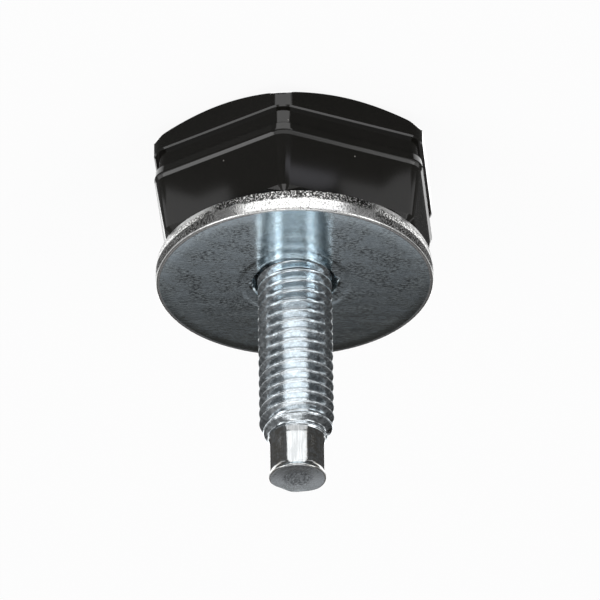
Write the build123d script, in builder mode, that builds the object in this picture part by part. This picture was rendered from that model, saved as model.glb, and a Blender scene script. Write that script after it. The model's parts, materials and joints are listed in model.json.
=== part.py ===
from build123d import *
import math
import os

# Appliance levelling leg. A zinc-plated stud is moulded by its head into a black hexagonal foot,
# and a stamped washer lies loose on the foot, round the stud.
# The sole stands on z = 0, +Z runs up the stud, and two corners of the foot lie on the Y axis.
# All sizes are in millimetres and degrees.

# Foot: sizes of the hexagon and its three bands, counted up from the sole
across_flats = 28.5
corner_radius = 2.3
foot_height = 12.66
tier_height = 3.0
tier_edge_chamfer = 0.15
sole_inset = 0.45
sole_cone_angle = 30.0
sole_corner_radius = 1.0
sole_corner_excess = 0.05
groove_height = 1.65
groove_depth = 0.55
ridge_above_groove = 1.3
ridge_step = 0.16
ridge_bevel_draft = 28.0
ridge_bevel_height = 0.6
ridge_radius = 0.5
shoulder_draft = 8.0
shoulder_edge_chamfer = 0.4
body_draft = 8.2
body_edge_chamfer = 0.55

# Washer: a blanked disc, rolled over at its upper edge and torn at its lower ones
washer_diameter = 29.4
washer_thickness = 2.42
washer_clearance = 0.45
washer_roll = 0.25
washer_hole_chamfer = 0.15
washer_torn_height = 1.1
washer_torn_taper = 0.18

# Stud: hidden head, plain neck, thread, dog point with a rolled lip
head_across_flats = 13.0
head_height = 5.3
head_cover = 3.5
neck_diameter = 7.1
thread_diameter = 7.9
thread_run_in = 0.3
thread_length = 17.7
thread_pitch = 1.25
thread_depth = 0.72
thread_land = 0.35
thread_last_land = 0.1
lead_length = 1.45
lead_end_diameter = 6.2
blend_length = 0.85
dog_diameter = 5.56
dog_length = 4.78
lip_diameter = 6.06
lip_flare_length = 0.65
lip_chamfer = 0.3
end_dish = 0.15

# Heights of the foot's bands
groove_top = tier_height + groove_height
ridge_height = groove_top + ridge_above_groove
ridge_plane = Plane.XY.offset(ridge_height)

# The sole's edge is a cone, as on a turned nut: it starts at the sole's circle and turns up round the corners
sole_radius = across_flats / 2 - sole_inset
corner_reach = (across_flats / 2 - corner_radius) / math.cos(math.radians(30)) + corner_radius
sole_turn = math.radians(sole_cone_angle)
cone_reach = corner_reach + sole_corner_excess
cone_end = cone_reach - sole_corner_radius * (1 - math.sin(sole_turn))
cone_end_height = (cone_end - sole_radius) * math.tan(sole_turn)
cone_top = cone_end_height + sole_corner_radius * math.cos(sole_turn)

# Heights of the stud, which take their places from the foot and the washer
washer_face = foot_height + washer_thickness
head_top = head_cover + head_height
thread_start = washer_face + thread_run_in
thread_end = thread_start + thread_length
lead_end = thread_end + lead_length
stud_end = lead_end + dog_length


def rounded_hexagon(width, radius):
    """Draw a hexagon of this width across its flats, with rounded corners, two of them on the Y axis."""
    RegularPolygon(width / 2, 6, major_radius=False, rotation=30)
    fillet(vertices(), radius)


# Washer
washer_radius = washer_diameter / 2
hole_radius = thread_diameter / 2 + washer_clearance
torn_top = foot_height + washer_torn_height

with BuildPart() as washer:
    with BuildSketch(Plane.XZ):
        with BuildLine():
            Polyline(
                (hole_radius + washer_torn_taper, foot_height),
                (washer_radius - washer_torn_taper, foot_height),
                (washer_radius, torn_top),
                (washer_radius, washer_face),
                (hole_radius, washer_face),
                (hole_radius, torn_top),
                close=True,
            )
        make_face()
        hole_corner, rim_corner = vertices().group_by(Axis.Y)[-1].sort_by(Axis.X)
        chamfer(hole_corner, washer_hole_chamfer)
        chamfer(rim_corner, washer_roll)
    revolve(axis=Axis.Z)

# Stud: the turned length is one profile, and the hexagonal head is added below it
neck_radius = neck_diameter / 2
thread_radius = thread_diameter / 2
dog_radius = dog_diameter / 2
lip_height = stud_end - lip_chamfer
end_radius = lip_diameter / 2 - lip_chamfer

# The thread is drawn as rings at its pitch, with lands at its outside diameter
ring_count = int((thread_length - thread_last_land) / thread_pitch)
ring_points = []
for ring in range(ring_count):
    ring_end = thread_start + (ring + 1) * thread_pitch
    ring_start = ring_end - thread_pitch + thread_land
    ring_points.append((thread_radius, ring_start))
    ring_points.append((thread_radius - thread_depth, (ring_start + ring_end) / 2))
    ring_points.append((thread_radius, ring_end))

with BuildPart() as stud:
    with BuildSketch(Plane.XZ):
        with BuildLine():
            Polyline(
                (0, stud_end - end_dish),
                (0, head_top),
                (neck_radius, head_top),
                (neck_radius, thread_start - (thread_radius - neck_radius)),
                (thread_radius, thread_start),
                *ring_points,
                (thread_radius, thread_end),
                (lead_end_diameter / 2, lead_end),
                (dog_radius, lead_end + blend_length),
                (dog_radius, lip_height - lip_flare_length),
                (lip_diameter / 2, lip_height),
                (end_radius, stud_end),
            )
            TangentArc((0, stud_end - end_dish), (end_radius, stud_end), tangent=(1, 0))
        make_face()
    revolve(axis=Axis.Z)
    with BuildSketch(Plane.XY.offset(head_cover)):
        RegularPolygon(head_across_flats / 2, 6, major_radius=False, rotation=30)
    extrude(amount=head_height)

# Foot: one moulding round the stud's head
with BuildPart() as hex_foot:
    # Floor tier, a straight hexagon with its lower edge turned to a cone
    with BuildSketch():
        rounded_hexagon(across_flats, corner_radius)
    extrude(amount=tier_height)
    chamfer(hex_foot.faces().sort_by(Axis.Z)[-1].edges(), tier_edge_chamfer)
    with BuildSketch(Plane.XZ):
        with BuildLine():
            Polyline((cone_reach, cone_top), (cone_reach, 0), (sole_radius, 0), (cone_end, cone_end_height))
            TangentArc((cone_end, cone_end_height), (cone_reach, cone_top), tangent=(1, math.tan(sole_turn)))
        make_face()
    revolve(axis=Axis.Z, mode=Mode.SUBTRACT)

    # Body, drafted up and down from the ridge where the mould parts: its upper half is a step smaller
    with BuildSketch(ridge_plane):
        rounded_hexagon(across_flats - 2 * ridge_step, corner_radius - ridge_step)
    extrude(amount=foot_height - ridge_height, taper=body_draft)
    chamfer(hex_foot.faces().sort_by(Axis.Z)[-1].edges(), body_edge_chamfer)
    with BuildSketch(ridge_plane):
        rounded_hexagon(across_flats, corner_radius)
    extrude(amount=ridge_bevel_height, taper=ridge_bevel_draft)
    with BuildSketch(-ridge_plane):
        rounded_hexagon(across_flats, corner_radius)
    extrude(amount=ridge_above_groove, taper=shoulder_draft)
    shoulder_edges = hex_foot.edges().filter_by_position(Axis.Z, groove_top, groove_top)
    chamfer(shoulder_edges, shoulder_edge_chamfer)
    fillet(hex_foot.edges().filter_by_position(Axis.Z, ridge_height, ridge_height), ridge_radius)

    # Waist in the groove, which runs up into the body's bevelled shoulder
    with BuildSketch(Plane.XY.offset(tier_height)):
        rounded_hexagon(across_flats - 2 * groove_depth, corner_radius - groove_depth)
    extrude(amount=groove_height + shoulder_edge_chamfer)

    # The plastic closes on the head and the neck without a gap
    add(stud.part, mode=Mode.SUBTRACT)

os.makedirs("parts", exist_ok=True)

hex_foot.part.label = "hex_foot"
export_step(hex_foot.part, "parts/hex_foot.step")

stud.part.label = "stud"
export_step(stud.part, "parts/stud.step")

washer.part.label = "washer"
export_step(washer.part, "parts/washer.step")
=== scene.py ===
import json
import math

import bpy
import numpy as np
from mathutils import Matrix, Vector, noise


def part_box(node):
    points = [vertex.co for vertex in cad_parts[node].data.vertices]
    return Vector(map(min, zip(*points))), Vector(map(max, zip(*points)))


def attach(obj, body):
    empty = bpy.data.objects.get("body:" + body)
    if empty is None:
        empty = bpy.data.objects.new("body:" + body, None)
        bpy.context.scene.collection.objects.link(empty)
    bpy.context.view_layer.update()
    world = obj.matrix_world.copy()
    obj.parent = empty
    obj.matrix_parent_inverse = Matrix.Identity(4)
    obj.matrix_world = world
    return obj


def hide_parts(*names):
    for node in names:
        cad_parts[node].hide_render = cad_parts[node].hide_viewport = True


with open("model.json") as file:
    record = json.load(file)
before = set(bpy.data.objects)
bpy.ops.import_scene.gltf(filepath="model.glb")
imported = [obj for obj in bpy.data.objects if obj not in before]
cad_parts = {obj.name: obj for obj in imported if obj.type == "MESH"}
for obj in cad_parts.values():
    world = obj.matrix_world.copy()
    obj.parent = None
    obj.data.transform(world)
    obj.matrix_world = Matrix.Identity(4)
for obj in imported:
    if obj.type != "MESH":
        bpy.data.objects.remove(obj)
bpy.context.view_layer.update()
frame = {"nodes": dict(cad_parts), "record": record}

# Appliance levelling leg: the black hexagonal foot is the frame's own solid with a moulded plastic finish.
# The stud gets its rolled thread here, and the washer its stamped edge and its slightly wavy face.
# Lengths are in metres, as in the frame. MM turns a size written in millimetres into metres.

MM = 0.001
foot_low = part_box("hex_foot")[0]
washer_low, washer_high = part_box("washer")
stud_low, stud_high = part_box("stud")
mounts = {mount["name"]: mount for mount in frame["record"]["mounts"]}
thread_size = mounts["stud_thread"]["dims"]

# Heights and radii that the pieces share with the solids
washer_clearance = 0.45 * MM
thread_run_in = 0.3 * MM
sole_height = foot_low.z
washer_bottom = washer_low.z
washer_face = washer_high.z
washer_radius = washer_high.x
thread_radius = thread_size["r_mm"] * MM
hole_radius = thread_radius + washer_clearance
thread_end = washer_face + thread_run_in + thread_size["length_mm"] * MM
stud_end = stud_high.z

# The photo's view: the leg is seen from above its stud, and the picture is turned half round
picture_size = 600
pixels_per_mm = 9.452
washer_middle_pixel = (294.7, 283.3)
view_turn = math.radians(-4.0)
view_rise = math.radians(31.9)
view_roll = math.radians(0.85)
camera_distance = 1.5
camera_reach = (0.05, 20.0)
sensor_width = 36.0


# Curves and surfaces that the pieces share


def smooth_min(a, b, blend):
    """The lower of two values, rounded over where they meet."""
    overlap = np.maximum(blend - np.abs(a - b), 0.0) / blend
    return np.minimum(a, b) - overlap * overlap * blend / 4


def smooth_max(a, b, blend):
    """The higher of two values, rounded over where they meet."""
    return -smooth_min(-a, -b, blend)


def turn_between(place, angle):
    """The turn from a place round the axis to each of the angles, by the shorter way."""
    return (angle - place + math.pi) % (2 * math.pi) - math.pi


def arc_from_wall(radius, height, end_radius, end_height, steps):
    """Points of an arc that leaves a wall, straight up or down at its start, and ends at the given point."""
    across = end_radius - radius
    along = end_height - height
    bend = (across * across + along * along) / (2 * across)
    sweep = math.atan2(abs(along), abs(bend) - abs(across))
    turns = np.linspace(0.0, sweep, steps + 1)
    side = math.copysign(1.0, across)
    up = math.copysign(1.0, along)
    size = abs(bend)
    return [(radius + side * size * (1 - math.cos(t)), height + up * size * math.sin(t)) for t in turns]


def grid_noise(points, scale, seed):
    """Smooth noise from -1 to 1 at each of the points, with features about 1 / scale across."""
    shift = Vector((seed * 17.3, seed * 9.1, seed * 5.7))
    return np.array([noise.noise(Vector(point) * scale + shift) for point in points])


def turned_rings(profile, count):
    """One ring of points about the Z axis for each point of a profile of (radius, height)."""
    angles = np.arange(count) * 2 * math.pi / count
    return [
        np.column_stack((r * np.cos(angles), r * np.sin(angles), np.full(count, z)))
        for r, z in profile
    ]


def new_piece(name, points, faces, sharp_angle):
    """An object from points and faces, shaded smooth apart from edges sharper than the given angle."""
    mesh = bpy.data.meshes.new(name)
    mesh.from_pydata([tuple(p) for p in points], [], faces)
    mesh.update()
    mesh.shade_smooth()
    mesh.set_sharp_from_angle(angle=math.radians(sharp_angle))
    piece = bpy.data.objects.new(name, mesh)
    bpy.context.scene.collection.objects.link(piece)
    return piece


class Surface:
    """Points and faces that grow ring by ring, all rings with the same number of points."""

    def __init__(self, count):
        self.count = count
        self.points = []
        self.faces = []

    def ring(self, points):
        """Add a ring of points and give the index of its first point."""
        first = len(self.points)
        self.points.extend(points)
        return first

    def band(self, lower, upper):
        """Join two rings, with faces outwards where the upper one comes later along the profile."""
        for i in range(self.count):
            j = (i + 1) % self.count
            self.faces.append((lower + i, lower + j, upper + j, upper + i))

    def cap(self, ring, centre, upwards):
        """Close a ring with a fan to one point."""
        tip = len(self.points)
        self.points.append(centre)
        for i in range(self.count):
            j = (i + 1) % self.count
            self.faces.append((ring + i, ring + j, tip) if upwards else (ring + j, ring + i, tip))


# Stud: rolled thread, dog point with a rolled lip, and the head inside the foot

stud_steps = 192
stud_sharp_angle = 35

# Section of the thread, and the number of points on its crest, on each flank and in its root
pitch = 1.25 * MM
thread_depth = 0.72 * MM
crest_width = 0.2 * MM
crest_round = 0.04 * MM
root_round = 0.07 * MM
root_margin = 0.04 * MM
seam_depth = 0.03 * MM
seam_width = 0.05 * MM
flank_slope = math.tan(math.radians(60))
crest_points = 12
flank_points = 4
root_points = 6

# Ends of the thread: it starts inside the washer's hole and runs out on a cone with a shoulder
thread_gap = 0.3 * MM
thread_start = washer_bottom + thread_gap
thread_shift = 0.69 * MM
spare_turns = 2
lead_early = 0.45 * MM
shoulder_length = 0.92 * MM
shoulder_radius = 3.38 * MM
lead_length = 1.27 * MM
lead_end_radius = 2.99 * MM
lead_groove = 0.42 * MM
thread_top = thread_end + lead_length

# Hidden neck and head
neck_radius = 3.15 * MM
head_height = 5.3 * MM
head_bottom = stud_low.z
head_top = head_bottom + head_height
head_half_width = stud_high.x

# Dog point, its flared lip and its dished end face
dog_radius = 2.85 * MM
blend_length = 1.05 * MM
blend_steps = 10
wall_steps = 6
lip_radius = 3.03 * MM
lip_round = 0.15 * MM
lip_steps = 10
lip_flare = 0.75 * MM
flare_steps = 8
end_edge = lip_radius - lip_round
end_steps = 26
end_dish = 0.15 * MM
dimple_radius = 1.55 * MM
dimple_depth = 0.035 * MM
dimple_edge = 0.12 * MM

# Each bruise of the lip has its place round the axis, its width and its depth
bruises = (
    (math.radians(46), math.radians(26), 0.45 * MM),
    (math.radians(96), math.radians(26), 0.36 * MM),
)
bruise_length = 1.1 * MM
bruise_inset = 1.2 * MM
bruise_least_radius = 1.0 * MM


def thread_offsets():
    """Places across one pitch, counted from the crest's middle, close together at the crest's edges."""
    crest_end = crest_width / 2 + crest_round
    flank_end = crest_width / 2 + thread_depth / flank_slope - root_margin
    spans = (
        (-crest_end, crest_end, crest_points),
        (crest_end, flank_end, flank_points),
        (flank_end, pitch - flank_end, root_points),
        (pitch - flank_end, pitch - crest_end, flank_points),
    )
    return np.concatenate([np.linspace(start, end, count, endpoint=False) for start, end, count in spans])


def thread_height(offset):
    """Radius of the thread at a distance along the axis from a crest's middle."""
    distance = np.abs((offset + pitch / 2) % pitch - pitch / 2)
    flank = thread_radius - flank_slope * (distance - crest_width / 2)
    crest = smooth_min(np.full_like(flank, thread_radius), flank, crest_round)
    seam = seam_depth * np.exp(-((distance / seam_width) ** 2))
    return smooth_max(crest - seam, np.full_like(flank, thread_radius - thread_depth), root_round)


def thread_at(offset, height):
    """Radius of the thread, whole over its length and running out below and on the dog point's cone."""
    shoulder = thread_end + shoulder_length
    run_in_end = thread_start + thread_radius - neck_radius
    crest = np.interp(
        height,
        (thread_start, run_in_end, thread_end - lead_early, shoulder, thread_top),
        (neck_radius, thread_radius, thread_radius, shoulder_radius, lead_end_radius),
    )
    groove = np.interp(
        height,
        (thread_start, run_in_end, thread_end, shoulder, thread_top),
        (0.0, thread_depth, thread_depth, lead_groove, 0.0),
    )
    share = (thread_radius - thread_height(offset)) / thread_depth
    return crest - groove * share


def add_thread(surface, bottom_ring, top_ring, bottom, top):
    """Add the helical thread between two plain rings of the stud."""
    offsets = thread_offsets()
    columns = len(offsets)
    turns = math.ceil((top - bottom) / pitch) + spare_turns + 1
    steps = turns * surface.count
    angle = np.arange(steps + 1) * 2 * math.pi / surface.count
    start = bottom - spare_turns * pitch + thread_shift
    height = start + pitch * np.arange(steps + 1)[:, None] / surface.count + offsets[None, :]
    radius = thread_at(np.broadcast_to(offsets[None, :], height.shape), height)
    place = np.stack(
        (radius * np.cos(angle)[:, None], radius * np.sin(angle)[:, None], height), axis=-1
    )
    first = len(surface.points)
    surface.points.extend(place.reshape(-1, 3))

    def index(step, column):
        """The point at a step along the helix, or the plain ring's point beyond either end."""
        if column == columns:
            step, column = step + surface.count, 0
        if step > steps:
            return top_ring + step % surface.count
        z = height[step, column]
        if z <= bottom:
            return bottom_ring + step % surface.count
        if z >= top:
            return top_ring + step % surface.count
        return first + step * columns + column

    for step in range(steps):
        for column in range(columns):
            corners = (
                index(step, column),
                index(step + 1, column),
                index(step + 1, column + 1),
                index(step, column + 1),
            )
            kept = list(dict.fromkeys(corners))
            if len(kept) >= 3:
                surface.faces.append(kept)


def dog_profile():
    """The dog point from the thread's end to the edge of its end face."""
    straight = thread_top + blend_length
    lip_height = stud_end - lip_round
    flare_start = lip_height - lip_flare
    blend = arc_from_wall(dog_radius, straight, lead_end_radius, thread_top, blend_steps)[::-1]
    wall = [(dog_radius, straight + (flare_start - straight) * i / wall_steps) for i in range(1, wall_steps)]
    flare = arc_from_wall(dog_radius, flare_start, lip_radius, lip_height, flare_steps)
    lip = arc_from_wall(lip_radius, lip_height, end_edge, stud_end, lip_steps)
    return blend + wall + flare + lip[1:]


def end_profile():
    """The end face, dished towards its middle, with a shallow dimple left by the cold heading."""
    profile = []
    for radius in np.linspace(end_edge, 0.0, end_steps)[1:-1]:
        dish = end_dish * (1 - (radius / end_edge) ** 2)
        dimple = dimple_depth / (1 + math.exp((radius - dimple_radius) / dimple_edge))
        profile.append((radius, stud_end - dish - dimple))
    return profile


def bruised(ring):
    """A ring of the dog point, pressed in where its lip has been knocked flat."""
    angle = np.arctan2(ring[:, 1], ring[:, 0])
    radius = np.hypot(ring[:, 0], ring[:, 1])
    near_lip = np.interp(ring[:, 2], (stud_end - bruise_length, stud_end - lip_round), (0.0, 1.0))
    near_edge = np.interp(radius, (lip_radius - bruise_inset, end_edge), (0.0, 1.0))
    pressed = np.zeros(len(ring))
    for place, width, depth in bruises:
        pressed += depth * near_lip * near_edge * np.exp(-((turn_between(place, angle) / width) ** 2))
    ring[:, :2] *= (1 - pressed / np.maximum(radius, bruise_least_radius))[:, None]
    return ring


def hexagon_ring(half_width, height, count):
    """A hexagon with two corners on the Y axis, with points at equal angles."""
    points = []
    for i in range(count):
        angle = i * 2 * math.pi / count
        from_flat = (angle + math.pi / 6) % (math.pi / 3) - math.pi / 6
        radius = half_width / math.cos(from_flat)
        points.append((radius * math.cos(angle), radius * math.sin(angle), height))
    return points


def threaded_stud():
    """The whole stud as one closed surface, from the head's underside to the end face."""
    surface = Surface(stud_steps)
    head_lower = surface.ring(hexagon_ring(head_half_width, head_bottom, stud_steps))
    head_upper = surface.ring(hexagon_ring(head_half_width, head_top, stud_steps))
    surface.cap(head_lower, (0.0, 0.0, head_bottom), upwards=False)
    surface.band(head_lower, head_upper)
    neck_profile = [(neck_radius, head_top), (neck_radius, thread_start)]
    neck_lower, neck_upper = (surface.ring(ring) for ring in turned_rings(neck_profile, stud_steps))
    surface.band(head_upper, neck_lower)
    surface.band(neck_lower, neck_upper)
    dog_rings = turned_rings(dog_profile() + end_profile(), stud_steps)
    dog = [surface.ring(bruised(ring)) for ring in dog_rings]
    add_thread(surface, neck_upper, dog[0], thread_start, thread_top)
    for lower, upper in zip(dog, dog[1:]):
        surface.band(lower, upper)
    surface.cap(dog[-1], (0.0, 0.0, stud_end - end_dish - dimple_depth), upwards=True)
    return new_piece("threaded_stud", surface.points, surface.faces, stud_sharp_angle)


# Washer: stamped from sheet, torn below and burnished above on its rim, rolled over at its upper edge

rim_steps = 480
washer_sharp_angle = 40

# Rim, with the number of points up its torn band, its burnished band and its rolled edge
torn_height = 1.1 * MM
torn_wander = 0.3 * MM
torn_taper = 0.18 * MM
torn_relief = 0.07 * MM
torn_steps = 16
torn_top = washer_bottom + torn_height
burnished_steps = 8
roll_radius = 0.2 * MM
roll_width = 1.5 * MM
roll_drop = 0.03 * MM
roll_steps = 9
edge_height = washer_face - roll_drop
face_edge = washer_radius - roll_radius

# Noise of the torn band and of the face's waves: features per millimetre, and how it is stretched
wander_scale = 0.22
ragged_stretch = (1.0, 1.0, 0.6)
ragged_coarse = 2.2
ragged_fine = 5.5
ragged_coarse_share = 0.6
wave_stretch = (0.35, 1.0, 1.0)
wave_scale = 0.8

# Face, sunk a little round the hole by the punch
face_steps = 60
face_wave = 0.004 * MM
face_tolerance = 0.001 * MM
punch_ring = 5.8 * MM
punch_edge = 0.08 * MM
punch_drop = 0.015 * MM

# Hole, with the place round the axis and the height of each burr on its upper edge
hole_break = 0.15 * MM
burrs = ((0.0, 0.12 * MM), (math.pi, 0.28 * MM))
burr_width = 0.09
burr_reach = 0.01 * MM
burr_depth = 0.4 * MM


def washer_profile():
    """The washer's section as radius and height: up the rim, over the face and down the hole."""
    burnished_top = edge_height - roll_radius
    section = []
    for share in np.linspace(0.0, 1.0, torn_steps):
        section.append((washer_radius - torn_taper * (1 - share), washer_bottom + torn_height * share))
    for share in np.linspace(0.0, 1.0, burnished_steps)[1:]:
        section.append((washer_radius, torn_top + (burnished_top - torn_top) * share))
    for turn in np.linspace(0.0, math.pi / 2, roll_steps)[1:]:
        radius = face_edge + roll_radius * math.cos(turn)
        section.append((radius, burnished_top + roll_radius * math.sin(turn)))
    for radius in np.linspace(face_edge, hole_radius + hole_break, face_steps)[1:]:
        rolled = max(0.0, (radius - face_edge + roll_width) / roll_width)
        sunk = punch_drop / (1 + math.exp((radius - punch_ring) / punch_edge))
        section.append((radius, washer_face - roll_drop * rolled * rolled - sunk))
    section.append((hole_radius, section[-1][1] - hole_break))
    section.append((hole_radius, torn_top))
    section.append((hole_radius + torn_taper, washer_bottom))
    return section


def stamped_washer():
    """The washer as one closed ring: the edge of its torn band wanders, and its face is slightly wavy."""
    rings = np.array(turned_rings(washer_profile(), rim_steps))
    radius = np.hypot(rings[..., 0], rings[..., 1])
    height = rings[..., 2]
    places = rings.reshape(-1, 3) / MM
    on_rim = radius > face_edge - torn_taper

    # The burnished band starts higher or lower round the rim
    wander = torn_wander * grid_noise(rings[0] / MM, wander_scale, 1)[None, :]
    span = np.interp(height, (washer_bottom, torn_top, edge_height), (0.0, 1.0, 0.0))
    lift = np.where(on_rim, span * wander, 0.0)

    # The torn band is ragged
    coarse = grid_noise(places * ragged_stretch, ragged_coarse, 2)
    fine = grid_noise(places * ragged_stretch, ragged_fine, 3)
    ragged = coarse * ragged_coarse_share + fine * (1 - ragged_coarse_share)
    ragged = ragged.reshape(height.shape)
    torn = np.interp(height, (washer_bottom, washer_bottom + 0.5 * torn_height, torn_top), (0.2, 1.0, 0.0))
    pull = np.where(on_rim, torn_relief * torn * (0.5 + 0.5 * ragged), 0.0)

    # The face follows the sheet's rolling waves
    on_face = (height > edge_height - punch_drop - face_tolerance) & (radius < face_edge)
    waves = grid_noise(places * wave_stretch, wave_scale, 4).reshape(height.shape)
    lift += np.where(on_face, face_wave * (waves - 1.0) / 2, 0.0)

    # Burrs stand up from the edge of the hole
    at_hole = (radius < hole_radius + hole_break + burr_reach) & (height > washer_face - burr_depth)
    angle = np.arctan2(rings[..., 1], rings[..., 0])
    for place, burr_height in burrs:
        rise = burr_height * np.exp(-((turn_between(place, angle) / burr_width) ** 2))
        lift += np.where(at_hole, rise, 0.0)

    rings[..., :2] *= (1 - pull / radius)[..., None]
    rings[..., 2] += lift
    surface = Surface(rim_steps)
    starts = [surface.ring(ring) for ring in rings]
    for lower, upper in zip(starts, starts[1:] + starts[:1]):
        surface.band(lower, upper)
    return new_piece("stamped_washer", surface.points, surface.faces, washer_sharp_angle)


# Finishes

# Colours as linear red, green and blue, and the depth that each finish's bumps stand for
plastic_dark = (0.0075, 0.007, 0.0055)
plastic_light = (0.0105, 0.0098, 0.008)
plastic_grain = 0.002 * MM
dust_grey = (0.25, 0.24, 0.22)

thread_zinc = (0.84, 0.9, 0.94)
dog_zinc = (0.64, 0.66, 0.67)
dog_streak = (0.5, 0.52, 0.53)
# The dog point's stain colour also serves as painted shade on its sides
dog_stain_and_shade = (0.44, 0.43, 0.4)
end_zinc = (0.86, 0.92, 0.95)
# The dull zinc colour serves for the dull dimple and as painted shade on the thread's sides
dull_and_shaded_zinc = (0.36, 0.39, 0.41)
stud_relief = 0.03 * MM

sheet_zinc = (0.72, 0.84, 0.91)
sheet_zinc_light = (0.84, 0.96, 1.0)
dash_grey = (0.22, 0.25, 0.27)
rim_zinc = (0.9, 0.9, 0.89)
# The rim's speck colours also serve as painted shade on its bands
burnished_speck_and_shade = (0.08, 0.08, 0.075)
torn_speck_and_shade = (0.03, 0.03, 0.028)
washer_relief = 0.05 * MM


class Value:
    """One socket of a finish; arithmetic on it adds Math nodes to the finish."""

    def __init__(self, finish, socket):
        self.finish = finish
        self.socket = socket

    def math(self, operation, *values):
        """A Math node on the given values."""
        return self.finish.node("Math", {"operation": operation}, dict(enumerate(values)))

    def __add__(self, other):
        return self.math("ADD", self, other)

    def __radd__(self, other):
        return self.math("ADD", other, self)

    def __sub__(self, other):
        return self.math("SUBTRACT", self, other)

    def __rsub__(self, other):
        return self.math("SUBTRACT", other, self)

    def __mul__(self, other):
        return self.math("MULTIPLY", self, other)

    def __rmul__(self, other):
        return self.math("MULTIPLY", other, self)

    def __truediv__(self, other):
        return self.math("DIVIDE", self, other)

    def __rtruediv__(self, other):
        return self.math("DIVIDE", other, self)

    def __pow__(self, other):
        return self.math("POWER", self, other)

    def __rpow__(self, other):
        return self.math("POWER", other, self)

    def __abs__(self):
        return self.math("ABSOLUTE", self)

    def most(self, other):
        """The higher of this and another value."""
        return self.math("MAXIMUM", self, other)

    def ramp(self, low, high, bottom=0.0, top=1.0):
        """A smooth step from bottom to top as this value goes from low to high."""
        return self.finish.node(
            "MapRange",
            {"interpolation_type": "SMOOTHSTEP"},
            {"Value": self, "From Min": low, "From Max": high, "To Min": bottom, "To Max": top},
        )


class Finish:
    """A node-based material, or the world, put together from expressions."""

    def __init__(self, owner):
        owner.use_nodes = True
        self.owner = owner
        self.tree = owner.node_tree
        self.tree.nodes.clear()

    def node(self, kind, settings=None, inputs=None, output=0):
        """Add a node, set its settings and then its sockets, and give one of its outputs."""
        made = self.tree.nodes.new("ShaderNode" + kind)
        for name, value in (settings or {}).items():
            setattr(made, name, value)
        for key, value in (inputs or {}).items():
            if isinstance(value, Value):
                self.tree.links.new(value.socket, made.inputs[key])
            else:
                made.inputs[key].default_value = value
        return Value(self, made.outputs[output] if len(made.outputs) else None)

    def place_mm(self):
        """The place on the piece as a vector, in millimetres in the piece's own frame."""
        place = self.node("TexCoord", output="Object")
        return self.node("VectorMath", {"operation": "SCALE"}, {0: place, "Scale": 1 / MM})

    def parts(self, vector):
        """The three parts of a vector."""
        return [self.node("SeparateXYZ", inputs={0: vector}, output=i) for i in range(3)]

    def stretched(self, vector, factors):
        """A vector multiplied part by part."""
        return self.node("VectorMath", {"operation": "MULTIPLY"}, {0: vector, 1: factors})

    def noise(self, vector, scale, detail=3.0, roughness=0.55):
        """Cloudy noise from 0 to 1."""
        return self.node(
            "TexNoise", inputs={"Vector": vector, "Scale": scale, "Detail": detail, "Roughness": roughness}
        )

    def mix_colour(self, factor, first, second):
        """One colour turning into another as factor goes from 0 to 1."""
        return self.node(
            "Mix", {"data_type": "RGBA"}, {0: factor, 6: self.colour(first), 7: self.colour(second)}, output=2
        )

    @staticmethod
    def colour(value):
        """A colour socket's value, with alpha added to plain numbers."""
        return value if isinstance(value, Value) else (*value, 1.0)

    def bump(self, height, distance, strength):
        """A normal from a height of 0 to 1 that stands for the given distance in metres."""
        return self.node("Bump", inputs={"Height": height, "Distance": distance, "Strength": strength})

    def surface(self, shader):
        """Make a shader the material's surface, and give the material."""
        self.node("OutputMaterial", inputs={"Surface": shader})
        return self.owner


def new_finish(name):
    """An empty finish for a new material."""
    return Finish(bpy.data.materials.new(name))


def black_plastic():
    """Black moulded plastic: satin, faintly clouded, with a few specks of dust."""
    finish = new_finish("black_plastic_moulded")
    place = finish.place_mm()
    cloud = finish.noise(place, 0.3, 4.0)
    grain = finish.noise(place, 7.0, 3.0)

    # Some of the cells hold a speck at their middle
    cells = {"Vector": place, "Scale": 0.45}
    from_middle = finish.node("TexVoronoi", {"feature": "F1"}, cells, output="Distance")
    cell_colour = finish.node("TexVoronoi", {"feature": "F1"}, cells, output="Color")
    chance = finish.node("SeparateXYZ", inputs={0: cell_colour})
    speck = from_middle.ramp(0.02, 0.045, 1.0, 0.0) * chance.ramp(0.55, 0.6)

    colour = finish.mix_colour(cloud, plastic_dark, plastic_light)
    colour = finish.mix_colour(speck, colour, dust_grey)
    roughness = 0.08 + 0.03 * cloud + 0.02 * grain + 0.3 * speck
    normal = finish.bump(grain, plastic_grain, 0.4)
    shader = finish.node(
        "BsdfPrincipled",
        inputs={"Base Color": colour, "Roughness": roughness, "IOR": 1.55, "Normal": normal},
    )
    return finish.surface(shader)


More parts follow.
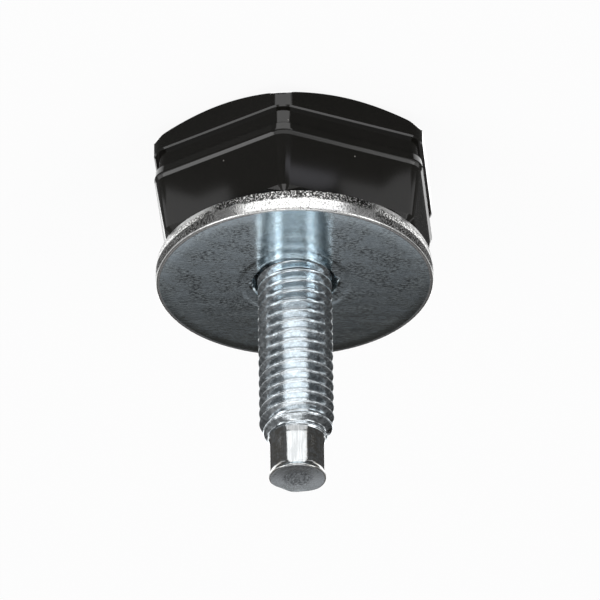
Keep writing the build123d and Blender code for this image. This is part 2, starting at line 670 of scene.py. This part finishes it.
def zinc_stud():
    """Bright zinc plating on the rolled thread and the dog point."""
    finish = new_finish("zinc_stud_plating")
    place = finish.place_mm()
    x, y, z = finish.parts(place)
    radius = (x * x + y * y) ** 0.5
    cloud = finish.noise(place, 1.1, 4.0)
    pits = finish.noise(place, 5.0, 4.0, 0.6)
    blots = finish.noise(finish.stretched(place, (1.6, 1.6, 2.4)), 1.0, 5.0, 0.65).ramp(0.38, 0.6)
    streak = finish.noise(finish.stretched(place, (5.0, 5.0, 0.35)), 1.0, 3.0)

    # Where the thread, its last turn, the end face and the end face's dimple lie
    dog_start, last_turn, end = thread_top / MM, thread_end / MM, stud_end / MM
    face_radius, dimple = end_edge / MM, dimple_radius / MM
    on_thread = z.ramp(dog_start - 0.15, dog_start + 0.25, 1.0, 0.0)
    on_last_turn = z.ramp(last_turn - 0.68, last_turn + 0.12, 0.0, 0.9)
    on_end = z.ramp(end - 0.31, end - 0.16) * radius.ramp(face_radius - 0.08, face_radius, 1.0, 0.0)
    on_dimple = on_end * radius.ramp(dimple - 0.35, dimple + 0.25, 1.0, 0.0)

    # Random blots dull the plating and are heavier on the last turn; their extra darkening at the sides of
    # the thread and the dog point is painted shade
    thread_blots_and_shade = blots * abs(x).ramp(1.2, 2.4, 0.3, 0.75).most(on_last_turn)
    dog_blots_and_shade = blots * abs(x).ramp(0.8, 1.5, 0.1, 1.0)
    thread_colour = finish.mix_colour(thread_blots_and_shade, thread_zinc, dull_and_shaded_zinc)
    dog_colour = finish.mix_colour(streak.ramp(0.4, 0.62), dog_zinc, dog_streak)
    dog_colour = finish.mix_colour(dog_blots_and_shade, dog_colour, dog_stain_and_shade)
    end_colour = finish.mix_colour(on_dimple * pits.ramp(0.44, 0.54), end_zinc, dull_and_shaded_zinc)
    colour = finish.mix_colour(on_thread, dog_colour, thread_colour)
    colour = finish.mix_colour(on_end, colour, end_colour)

    roughness = 0.07 + 0.06 * cloud + 0.04 * on_thread + 0.14 * on_end
    pit_height = pits * (0.2 + 0.3 * on_thread + 0.4 * on_end + 1.2 * on_dimple)
    streak_height = streak * (1 - on_thread) * 0.2
    normal = finish.bump(pit_height + streak_height, stud_relief, 0.7)
    shader = finish.node(
        "BsdfPrincipled",
        inputs={"Base Color": colour, "Roughness": roughness, "Metallic": 1.0, "Normal": normal},
    )
    return finish.surface(shader)


def zinc_washer():
    """Zinc plating over rolled sheet: fine waves along the rolling direction, a speckled torn rim with
    painted shade, and a painted reflection of the stud on the face.
    """
    finish = new_finish("zinc_washer_plating")
    place = finish.place_mm()
    x, y, z = finish.parts(place)
    radius = (x * x + y * y) ** 0.5
    face, edge = washer_face / MM, washer_radius / MM
    torn_edge, stud_edge = torn_top / MM, thread_radius / MM
    cloud = finish.noise(place, 0.4, 4.0)
    wander = finish.noise(place, 0.9, 4.0, 0.7)
    waves = finish.noise(finish.stretched(place, (2.3, 5.4, 1.0)), 1.0, 5.0, 0.7)
    rolling = finish.noise(finish.stretched(place, (0.8, 22.0, 1.0)), 1.0, 2.0, 0.5)
    grit = finish.noise(finish.stretched(place, (1.0, 1.0, 0.7)), 7.5, 3.0, 0.6)
    tear = finish.noise(finish.stretched(place, (1.0, 1.0, 0.25)), 6.0, 3.0, 0.6)

    # Dark dashes on the face, weaker beside its edge and on its far half; they are also weaker on a strip in
    # front of the stud, which is a painted reflection of the stud
    stud_reflection_strip = abs(x).ramp(stud_edge - 0.35, stud_edge + 0.25, 1.0, 0.0) * y.ramp(0.0, 0.5, 1.0, 0.0)
    dashes = waves.ramp(0.44, 0.6) * (0.35 + 1.2 * cloud.ramp(0.4, 0.6)) * y.ramp(0.0, 9.0, 1.0, 0.25)
    dashes = dashes * radius.ramp(edge - 3.7, edge - 1.1, 1.0, 0.45) * (1 - stud_reflection_strip * 0.6)
    face_colour = finish.mix_colour(cloud.ramp(0.3, 0.7), sheet_zinc, sheet_zinc_light)
    face_colour = finish.mix_colour(dashes * 0.9, face_colour, dash_grey)

    # Bands of the rim, each with its own share of dark specks for the rim's grain; the torn band drawn
    # narrower at the sides, the thick specks on the burnished band at the sides and the thick specks on the
    # torn band in front are painted shade
    rim = radius.ramp(edge - 0.45, edge - 0.3)
    painted_reflection_side = (abs(x + 1.0) + wander * 2.0).ramp(8.8, 10.4)
    torn = (z + wander * 0.9 + painted_reflection_side * 0.5).ramp(torn_edge + 0.2, torn_edge + 0.5, 1.0, 0.0) * rim
    rolled_edge = z.ramp(face - 0.3, face - 0.15)
    side_specks_and_shade = painted_reflection_side * grit.ramp(0.42, 0.52) * (1 - rolled_edge * 0.7)
    front_specks = (1 - painted_reflection_side) * grit.ramp(0.54, 0.6) * 0.7
    torn_specks_and_shade = grit.ramp(0.4, 0.48) * (1 - 0.85 * painted_reflection_side)
    burnished_colour = finish.mix_colour(side_specks_and_shade + front_specks, rim_zinc, burnished_speck_and_shade)
    torn_colour = finish.mix_colour(torn_specks_and_shade, rim_zinc, torn_speck_and_shade)
    rim_colour = finish.mix_colour(torn, burnished_colour, torn_colour)
    colour = finish.mix_colour(rim, face_colour, rim_colour)

    roughness = 0.09 + 0.03 * cloud + rim * 0.13 + torn * 0.12
    face_height = waves * 0.06 + rolling * 0.09
    rim_height = grit * (0.35 + 0.5 * torn) + tear * (1 - torn) * 0.2
    normal = finish.bump(face_height * (1 - rim) + rim_height * rim, washer_relief, 0.55)
    shader = finish.node(
        "BsdfPrincipled",
        inputs={"Base Color": colour, "Roughness": roughness, "Metallic": 1.0, "Normal": normal},
    )
    return finish.surface(shader)


# Stage: a pale floor, soft boxes, a room, and cards that show only in reflections

white = (1.0, 1.0, 1.0)
room_light = (0.5, 0.5, 0.52)
floor_grey = (0.8, 0.8, 0.8)
floor_width = 6.0
floor_whiteness = 0.93
backdrop_width = 0.16
backdrop_place = (0, 0.2, 0.13)
backdrop_dark = (0.022, 0.019, 0.016)
backdrop_light = (0.345, 0.342, 0.35)

# Of each light: angle round from the photo's side, angle up, distance, width, length and strength
lights = {
    "overhead_strip": (0, 90, 0.7, 0.36, 1.0, 0.9),
    "left_box": (62, 30, 1.0, 0.45, 0.95, 1.8),
    "right_box": (-62, 30, 1.0, 0.45, 0.95, 1.8),
}

# Distances of the cards from the stud's axis, and their corners sideways and up, in millimetres
front_distance = 100.0
flat_distance = 38.5
wrap_distance = 48.0
front_zone = ((-85.0, 0.0), (85.0, 0.0), (85.0, 55.0), (-85.0, 55.0))
left_zone = (
    (13.6, 0.4), (17.7, 0.5), (19.5, -0.5), (21.5, -1.9), (34.0, -3.5), (34.0, 5.2), (14.0, 5.2),
)
inner_zone = (
    (-14.0, 1.9), (-3.0, 1.5), (9.0, 1.2), (9.1, 2.4), (7.5, 3.1), (5.2, 3.3), (-14.0, 3.3),
)
right_zone = (
    (9.4, 1.5), (14.6, 1.4), (15.9, -0.3), (18.0, -1.4), (34.0, -3.0), (34.0, 5.2), (11.2, 5.2), (9.8, 2.8),
)
wrap_zone = ((-16.0, -3.5), (2.0, -6.2), (2.0, 5.0), (-16.0, 5.0))


def view_direction(turn, rise):
    """The direction at an angle round from the photo's side, and an angle above the floor, in degrees."""
    turn = view_turn + math.radians(turn)
    rise = math.radians(rise)
    return Vector((math.sin(turn) * math.cos(rise), -math.cos(turn) * math.cos(rise), math.sin(rise)))


def stage_card(name, corners, finish, place=Matrix.Identity(4)):
    """A card of the stage, with one face."""
    mesh = bpy.data.meshes.new(name)
    mesh.from_pydata([tuple(corner) for corner in corners], [], [tuple(range(len(corners)))])
    mesh.materials.append(finish)
    card = bpy.data.objects.new(name, mesh)
    card.matrix_world = place
    bpy.context.scene.collection.objects.link(card)
    return card


def square_card(name, width, place, finish, tilt=0.0):
    """A square card, tilted up from the floor about its X axis."""
    half = width / 2
    corners = ((-half, -half, 0), (half, -half, 0), (half, half, 0), (-half, half, 0))
    return stage_card(name, corners, finish, Matrix.Translation(place) @ Matrix.Rotation(tilt, 4, "X"))


def seen_only_in_gloss(card):
    """Keep a card out of sight and out of the lighting, apart from reflections."""
    card.visible_camera = False
    card.visible_diffuse = False
    card.visible_shadow = False
    card.visible_transmission = False


def side_card(name, turn, distance, corners, finish):
    """An upright card seen only in gloss, facing the leg; its corners are sideways and up, in millimetres."""
    turn = math.radians(turn)
    outwards = Vector((math.sin(turn), -math.cos(turn), 0.0))
    along = Vector((math.cos(turn), math.sin(turn), 0.0)) * math.copysign(1.0, turn)
    upwards = Vector((0.0, 0.0, 1.0))
    points = [(outwards * distance + along * across + upwards * up) * MM for across, up in corners]
    seen_only_in_gloss(stage_card(name, points, finish))


def floor_finish():
    """A pale floor that is nearly plain white to the camera, with a soft shadow kept."""
    finish = new_finish("pale_floor")
    seen = finish.node("LightPath", output="Is Camera Ray")
    seen = seen.most(finish.node("LightPath", output="Is Glossy Ray"))
    seen = seen.most(finish.node("LightPath", output="Is Transmission Ray"))
    lit = finish.node("BsdfDiffuse", inputs={"Color": finish.colour(floor_grey)})
    plain = finish.node("Emission", inputs={"Color": finish.colour(white), "Strength": 1.0})
    return finish.surface(finish.node("MixShader", inputs={0: seen * floor_whiteness, 1: lit, 2: plain}))


def backdrop_finish():
    """A backdrop that grows lighter upwards and a little to one side."""
    finish = new_finish("graded_backdrop")
    across, up = finish.parts(finish.place_mm())[:2]
    tone = up.ramp(6.0, 27.0) * across.ramp(-20.0, 20.0, 0.82, 1.15)
    shade = finish.mix_colour(tone, backdrop_dark, backdrop_light)
    return finish.surface(finish.node("Emission", inputs={"Color": shade}))


def glow_finish(name, colour):
    """A card that is as bright as its colour says."""
    finish = new_finish(name)
    return finish.surface(finish.node("Emission", inputs={"Color": finish.colour(colour)}))


def add_light(name, turn, rise, distance, width, length, strength):
    """A soft rectangular light; strength is the radiance of its face, so 1 looks white in a mirror."""
    lamp = bpy.data.lights.new(name, "AREA")
    lamp.shape = "RECTANGLE"
    lamp.size = width
    lamp.size_y = length
    lamp.energy = strength * math.pi * width * length
    holder = bpy.data.objects.new(name, lamp)
    away = view_direction(turn, rise)
    facing_leg = away.to_track_quat("Z", "Y").to_matrix().to_4x4()
    holder.matrix_world = Matrix.Translation(away * distance) @ facing_leg
    holder.visible_camera = False
    bpy.context.scene.collection.objects.link(holder)


def room():
    """White to the camera, plain to the lighting, and in reflections bright in front and behind."""
    world = bpy.data.worlds.new("studio_room")
    bpy.context.scene.world = world
    finish = Finish(world)
    x, y, z = finish.parts(finish.node("TexCoord", output="Generated"))

    # How far a direction points to the photo's side, from 1 in front to -1 behind, and how far to one side
    level = (x * x + y * y + 0.0001) ** 0.5
    facing = (x * math.sin(view_turn) - y * math.cos(view_turn)) / level
    side = (x * math.cos(view_turn) + y * math.sin(view_turn)) / level

    # Below the horizon: a white band in front, a steep white band elsewhere, and white behind
    front = facing.ramp(math.cos(math.radians(45)), math.cos(math.radians(40)))
    front_band = front * (z.ramp(-0.99, -0.96) * z.ramp(-0.39, -0.31, 1.0, 0.0))
    steep_band = (z + 0.1286 * facing).ramp(-0.71, -0.65, 1.0, 0.0) * z.ramp(-0.745, -0.715)
    steep_band = steep_band * facing.ramp(0.0, 0.25, 1.0, 0.0)
    straight_behind = facing.ramp(-0.987, -0.977, 1.0, 0.0)
    half_behind = facing.ramp(-0.8, -0.72, 1.0, 0.0) * z.ramp(-0.42, -0.38)
    low_tone = (0.11 + 0.02 * side) * facing.ramp(-0.96, -0.7, 0.5, 1.0)
    low_tone = low_tone + front_band * 1.5 + steep_band * 1.8 + straight_behind.most(half_behind) * 2.0

    # Above the horizon: a low bright ring at the sides, and a low and a high patch in front
    high_tone = (0.2 + 0.05 * side) * facing.ramp(-0.85, -0.3, 0.45, 1.0)
    ring = z.ramp(0.02, 0.08) * z.ramp(0.2, 0.35, 1.0, 0.0)
    ring = ring * facing.ramp(-0.79, -0.7) * facing.ramp(0.77, 0.85, 1.0, 0.0)
    patches = z.ramp(0.0, 0.08) - z.ramp(0.2, 0.3) + z.ramp(0.66, 0.74) - z.ramp(0.9, 0.97)
    patches = facing.ramp(math.cos(math.radians(35)), math.cos(math.radians(22))) * patches

    above = z.ramp(-0.09, 0.02)
    reflected = low_tone * (1 - above) + high_tone * above + ring * 1.1 + patches * 0.7
    grey = finish.node("CombineXYZ", inputs={0: reflected, 1: reflected, 2: reflected})
    camera_ray = finish.node("LightPath", output="Is Camera Ray")
    glossy_ray = finish.node("LightPath", output="Is Glossy Ray")
    tone = finish.mix_colour(glossy_ray, room_light, grey)
    tone = finish.mix_colour(camera_ray, tone, white)
    finish.node("OutputWorld", inputs={"Surface": finish.node("Background", inputs={"Color": tone})})


def studio():
    """Floor, cards, lights and room."""
    floor = square_card("floor", floor_width, (0, 0, sole_height), floor_finish())
    floor.visible_glossy = False
    backdrop = square_card("backdrop", backdrop_width, backdrop_place, backdrop_finish(), math.pi / 2)
    seen_only_in_gloss(backdrop)
    front_glow = glow_finish("front_glow", white)
    left_glow = glow_finish("left_glow", (0.85, 0.85, 0.86))
    inner_glow = glow_finish("inner_glow", (0.9, 0.9, 1.0))
    right_glow = glow_finish("right_glow", (0.78, 0.78, 0.79))
    side_card("front_card", math.degrees(view_turn), front_distance, front_zone, front_glow)
    side_card("left_card", 30, flat_distance, left_zone, left_glow)
    side_card("inner_card", -30, flat_distance, inner_zone, inner_glow)
    side_card("right_card", -30, flat_distance, right_zone, right_glow)
    side_card("left_wrap", 90, wrap_distance, wrap_zone, left_glow)
    side_card("right_wrap", -90, wrap_distance, wrap_zone, right_glow)
    for name, settings in lights.items():
        add_light(name, *settings)
    room()


# Camera


def photo_camera():
    """A long lens at the photo's angle, with the washer's face where the photo has it."""
    towards = view_direction(0.0, math.degrees(view_rise))
    level = Vector((math.cos(view_turn), math.sin(view_turn), 0.0))
    upwards = towards.cross(level)
    right = -level * math.cos(view_roll) + upwards * math.sin(view_roll)
    down = level * math.sin(view_roll) + upwards * math.cos(view_roll)
    shift_right = (picture_size / 2 - washer_middle_pixel[0]) / pixels_per_mm * MM
    shift_down = (picture_size / 2 - washer_middle_pixel[1]) / pixels_per_mm * MM
    target = Vector((0, 0, washer_face)) + right * shift_right + down * shift_down
    lens = bpy.data.cameras.new("photo_camera")
    lens.sensor_width = sensor_width
    lens.lens = sensor_width * camera_distance / (picture_size / pixels_per_mm * MM)
    lens.clip_start, lens.clip_end = camera_reach
    camera = bpy.data.objects.new("photo_camera", lens)
    turn = Matrix((right, -down, towards)).transposed().to_4x4()
    camera.matrix_world = Matrix.Translation(target + towards * camera_distance) @ turn
    bpy.context.scene.collection.objects.link(camera)
    bpy.context.scene.camera = camera


# Put the pieces together

stud = threaded_stud()
stud.data.materials.append(zinc_stud())
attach(stud, "leg")
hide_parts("stud")

washer = stamped_washer()
washer.data.materials.append(zinc_washer())
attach(washer, "washer")
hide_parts("washer")

plastic = black_plastic()
for foot_slot in frame["nodes"]["hex_foot"].material_slots:
    foot_slot.material = plastic

studio()
photo_camera()
bpy.context.scene.view_settings.view_transform = "Standard"
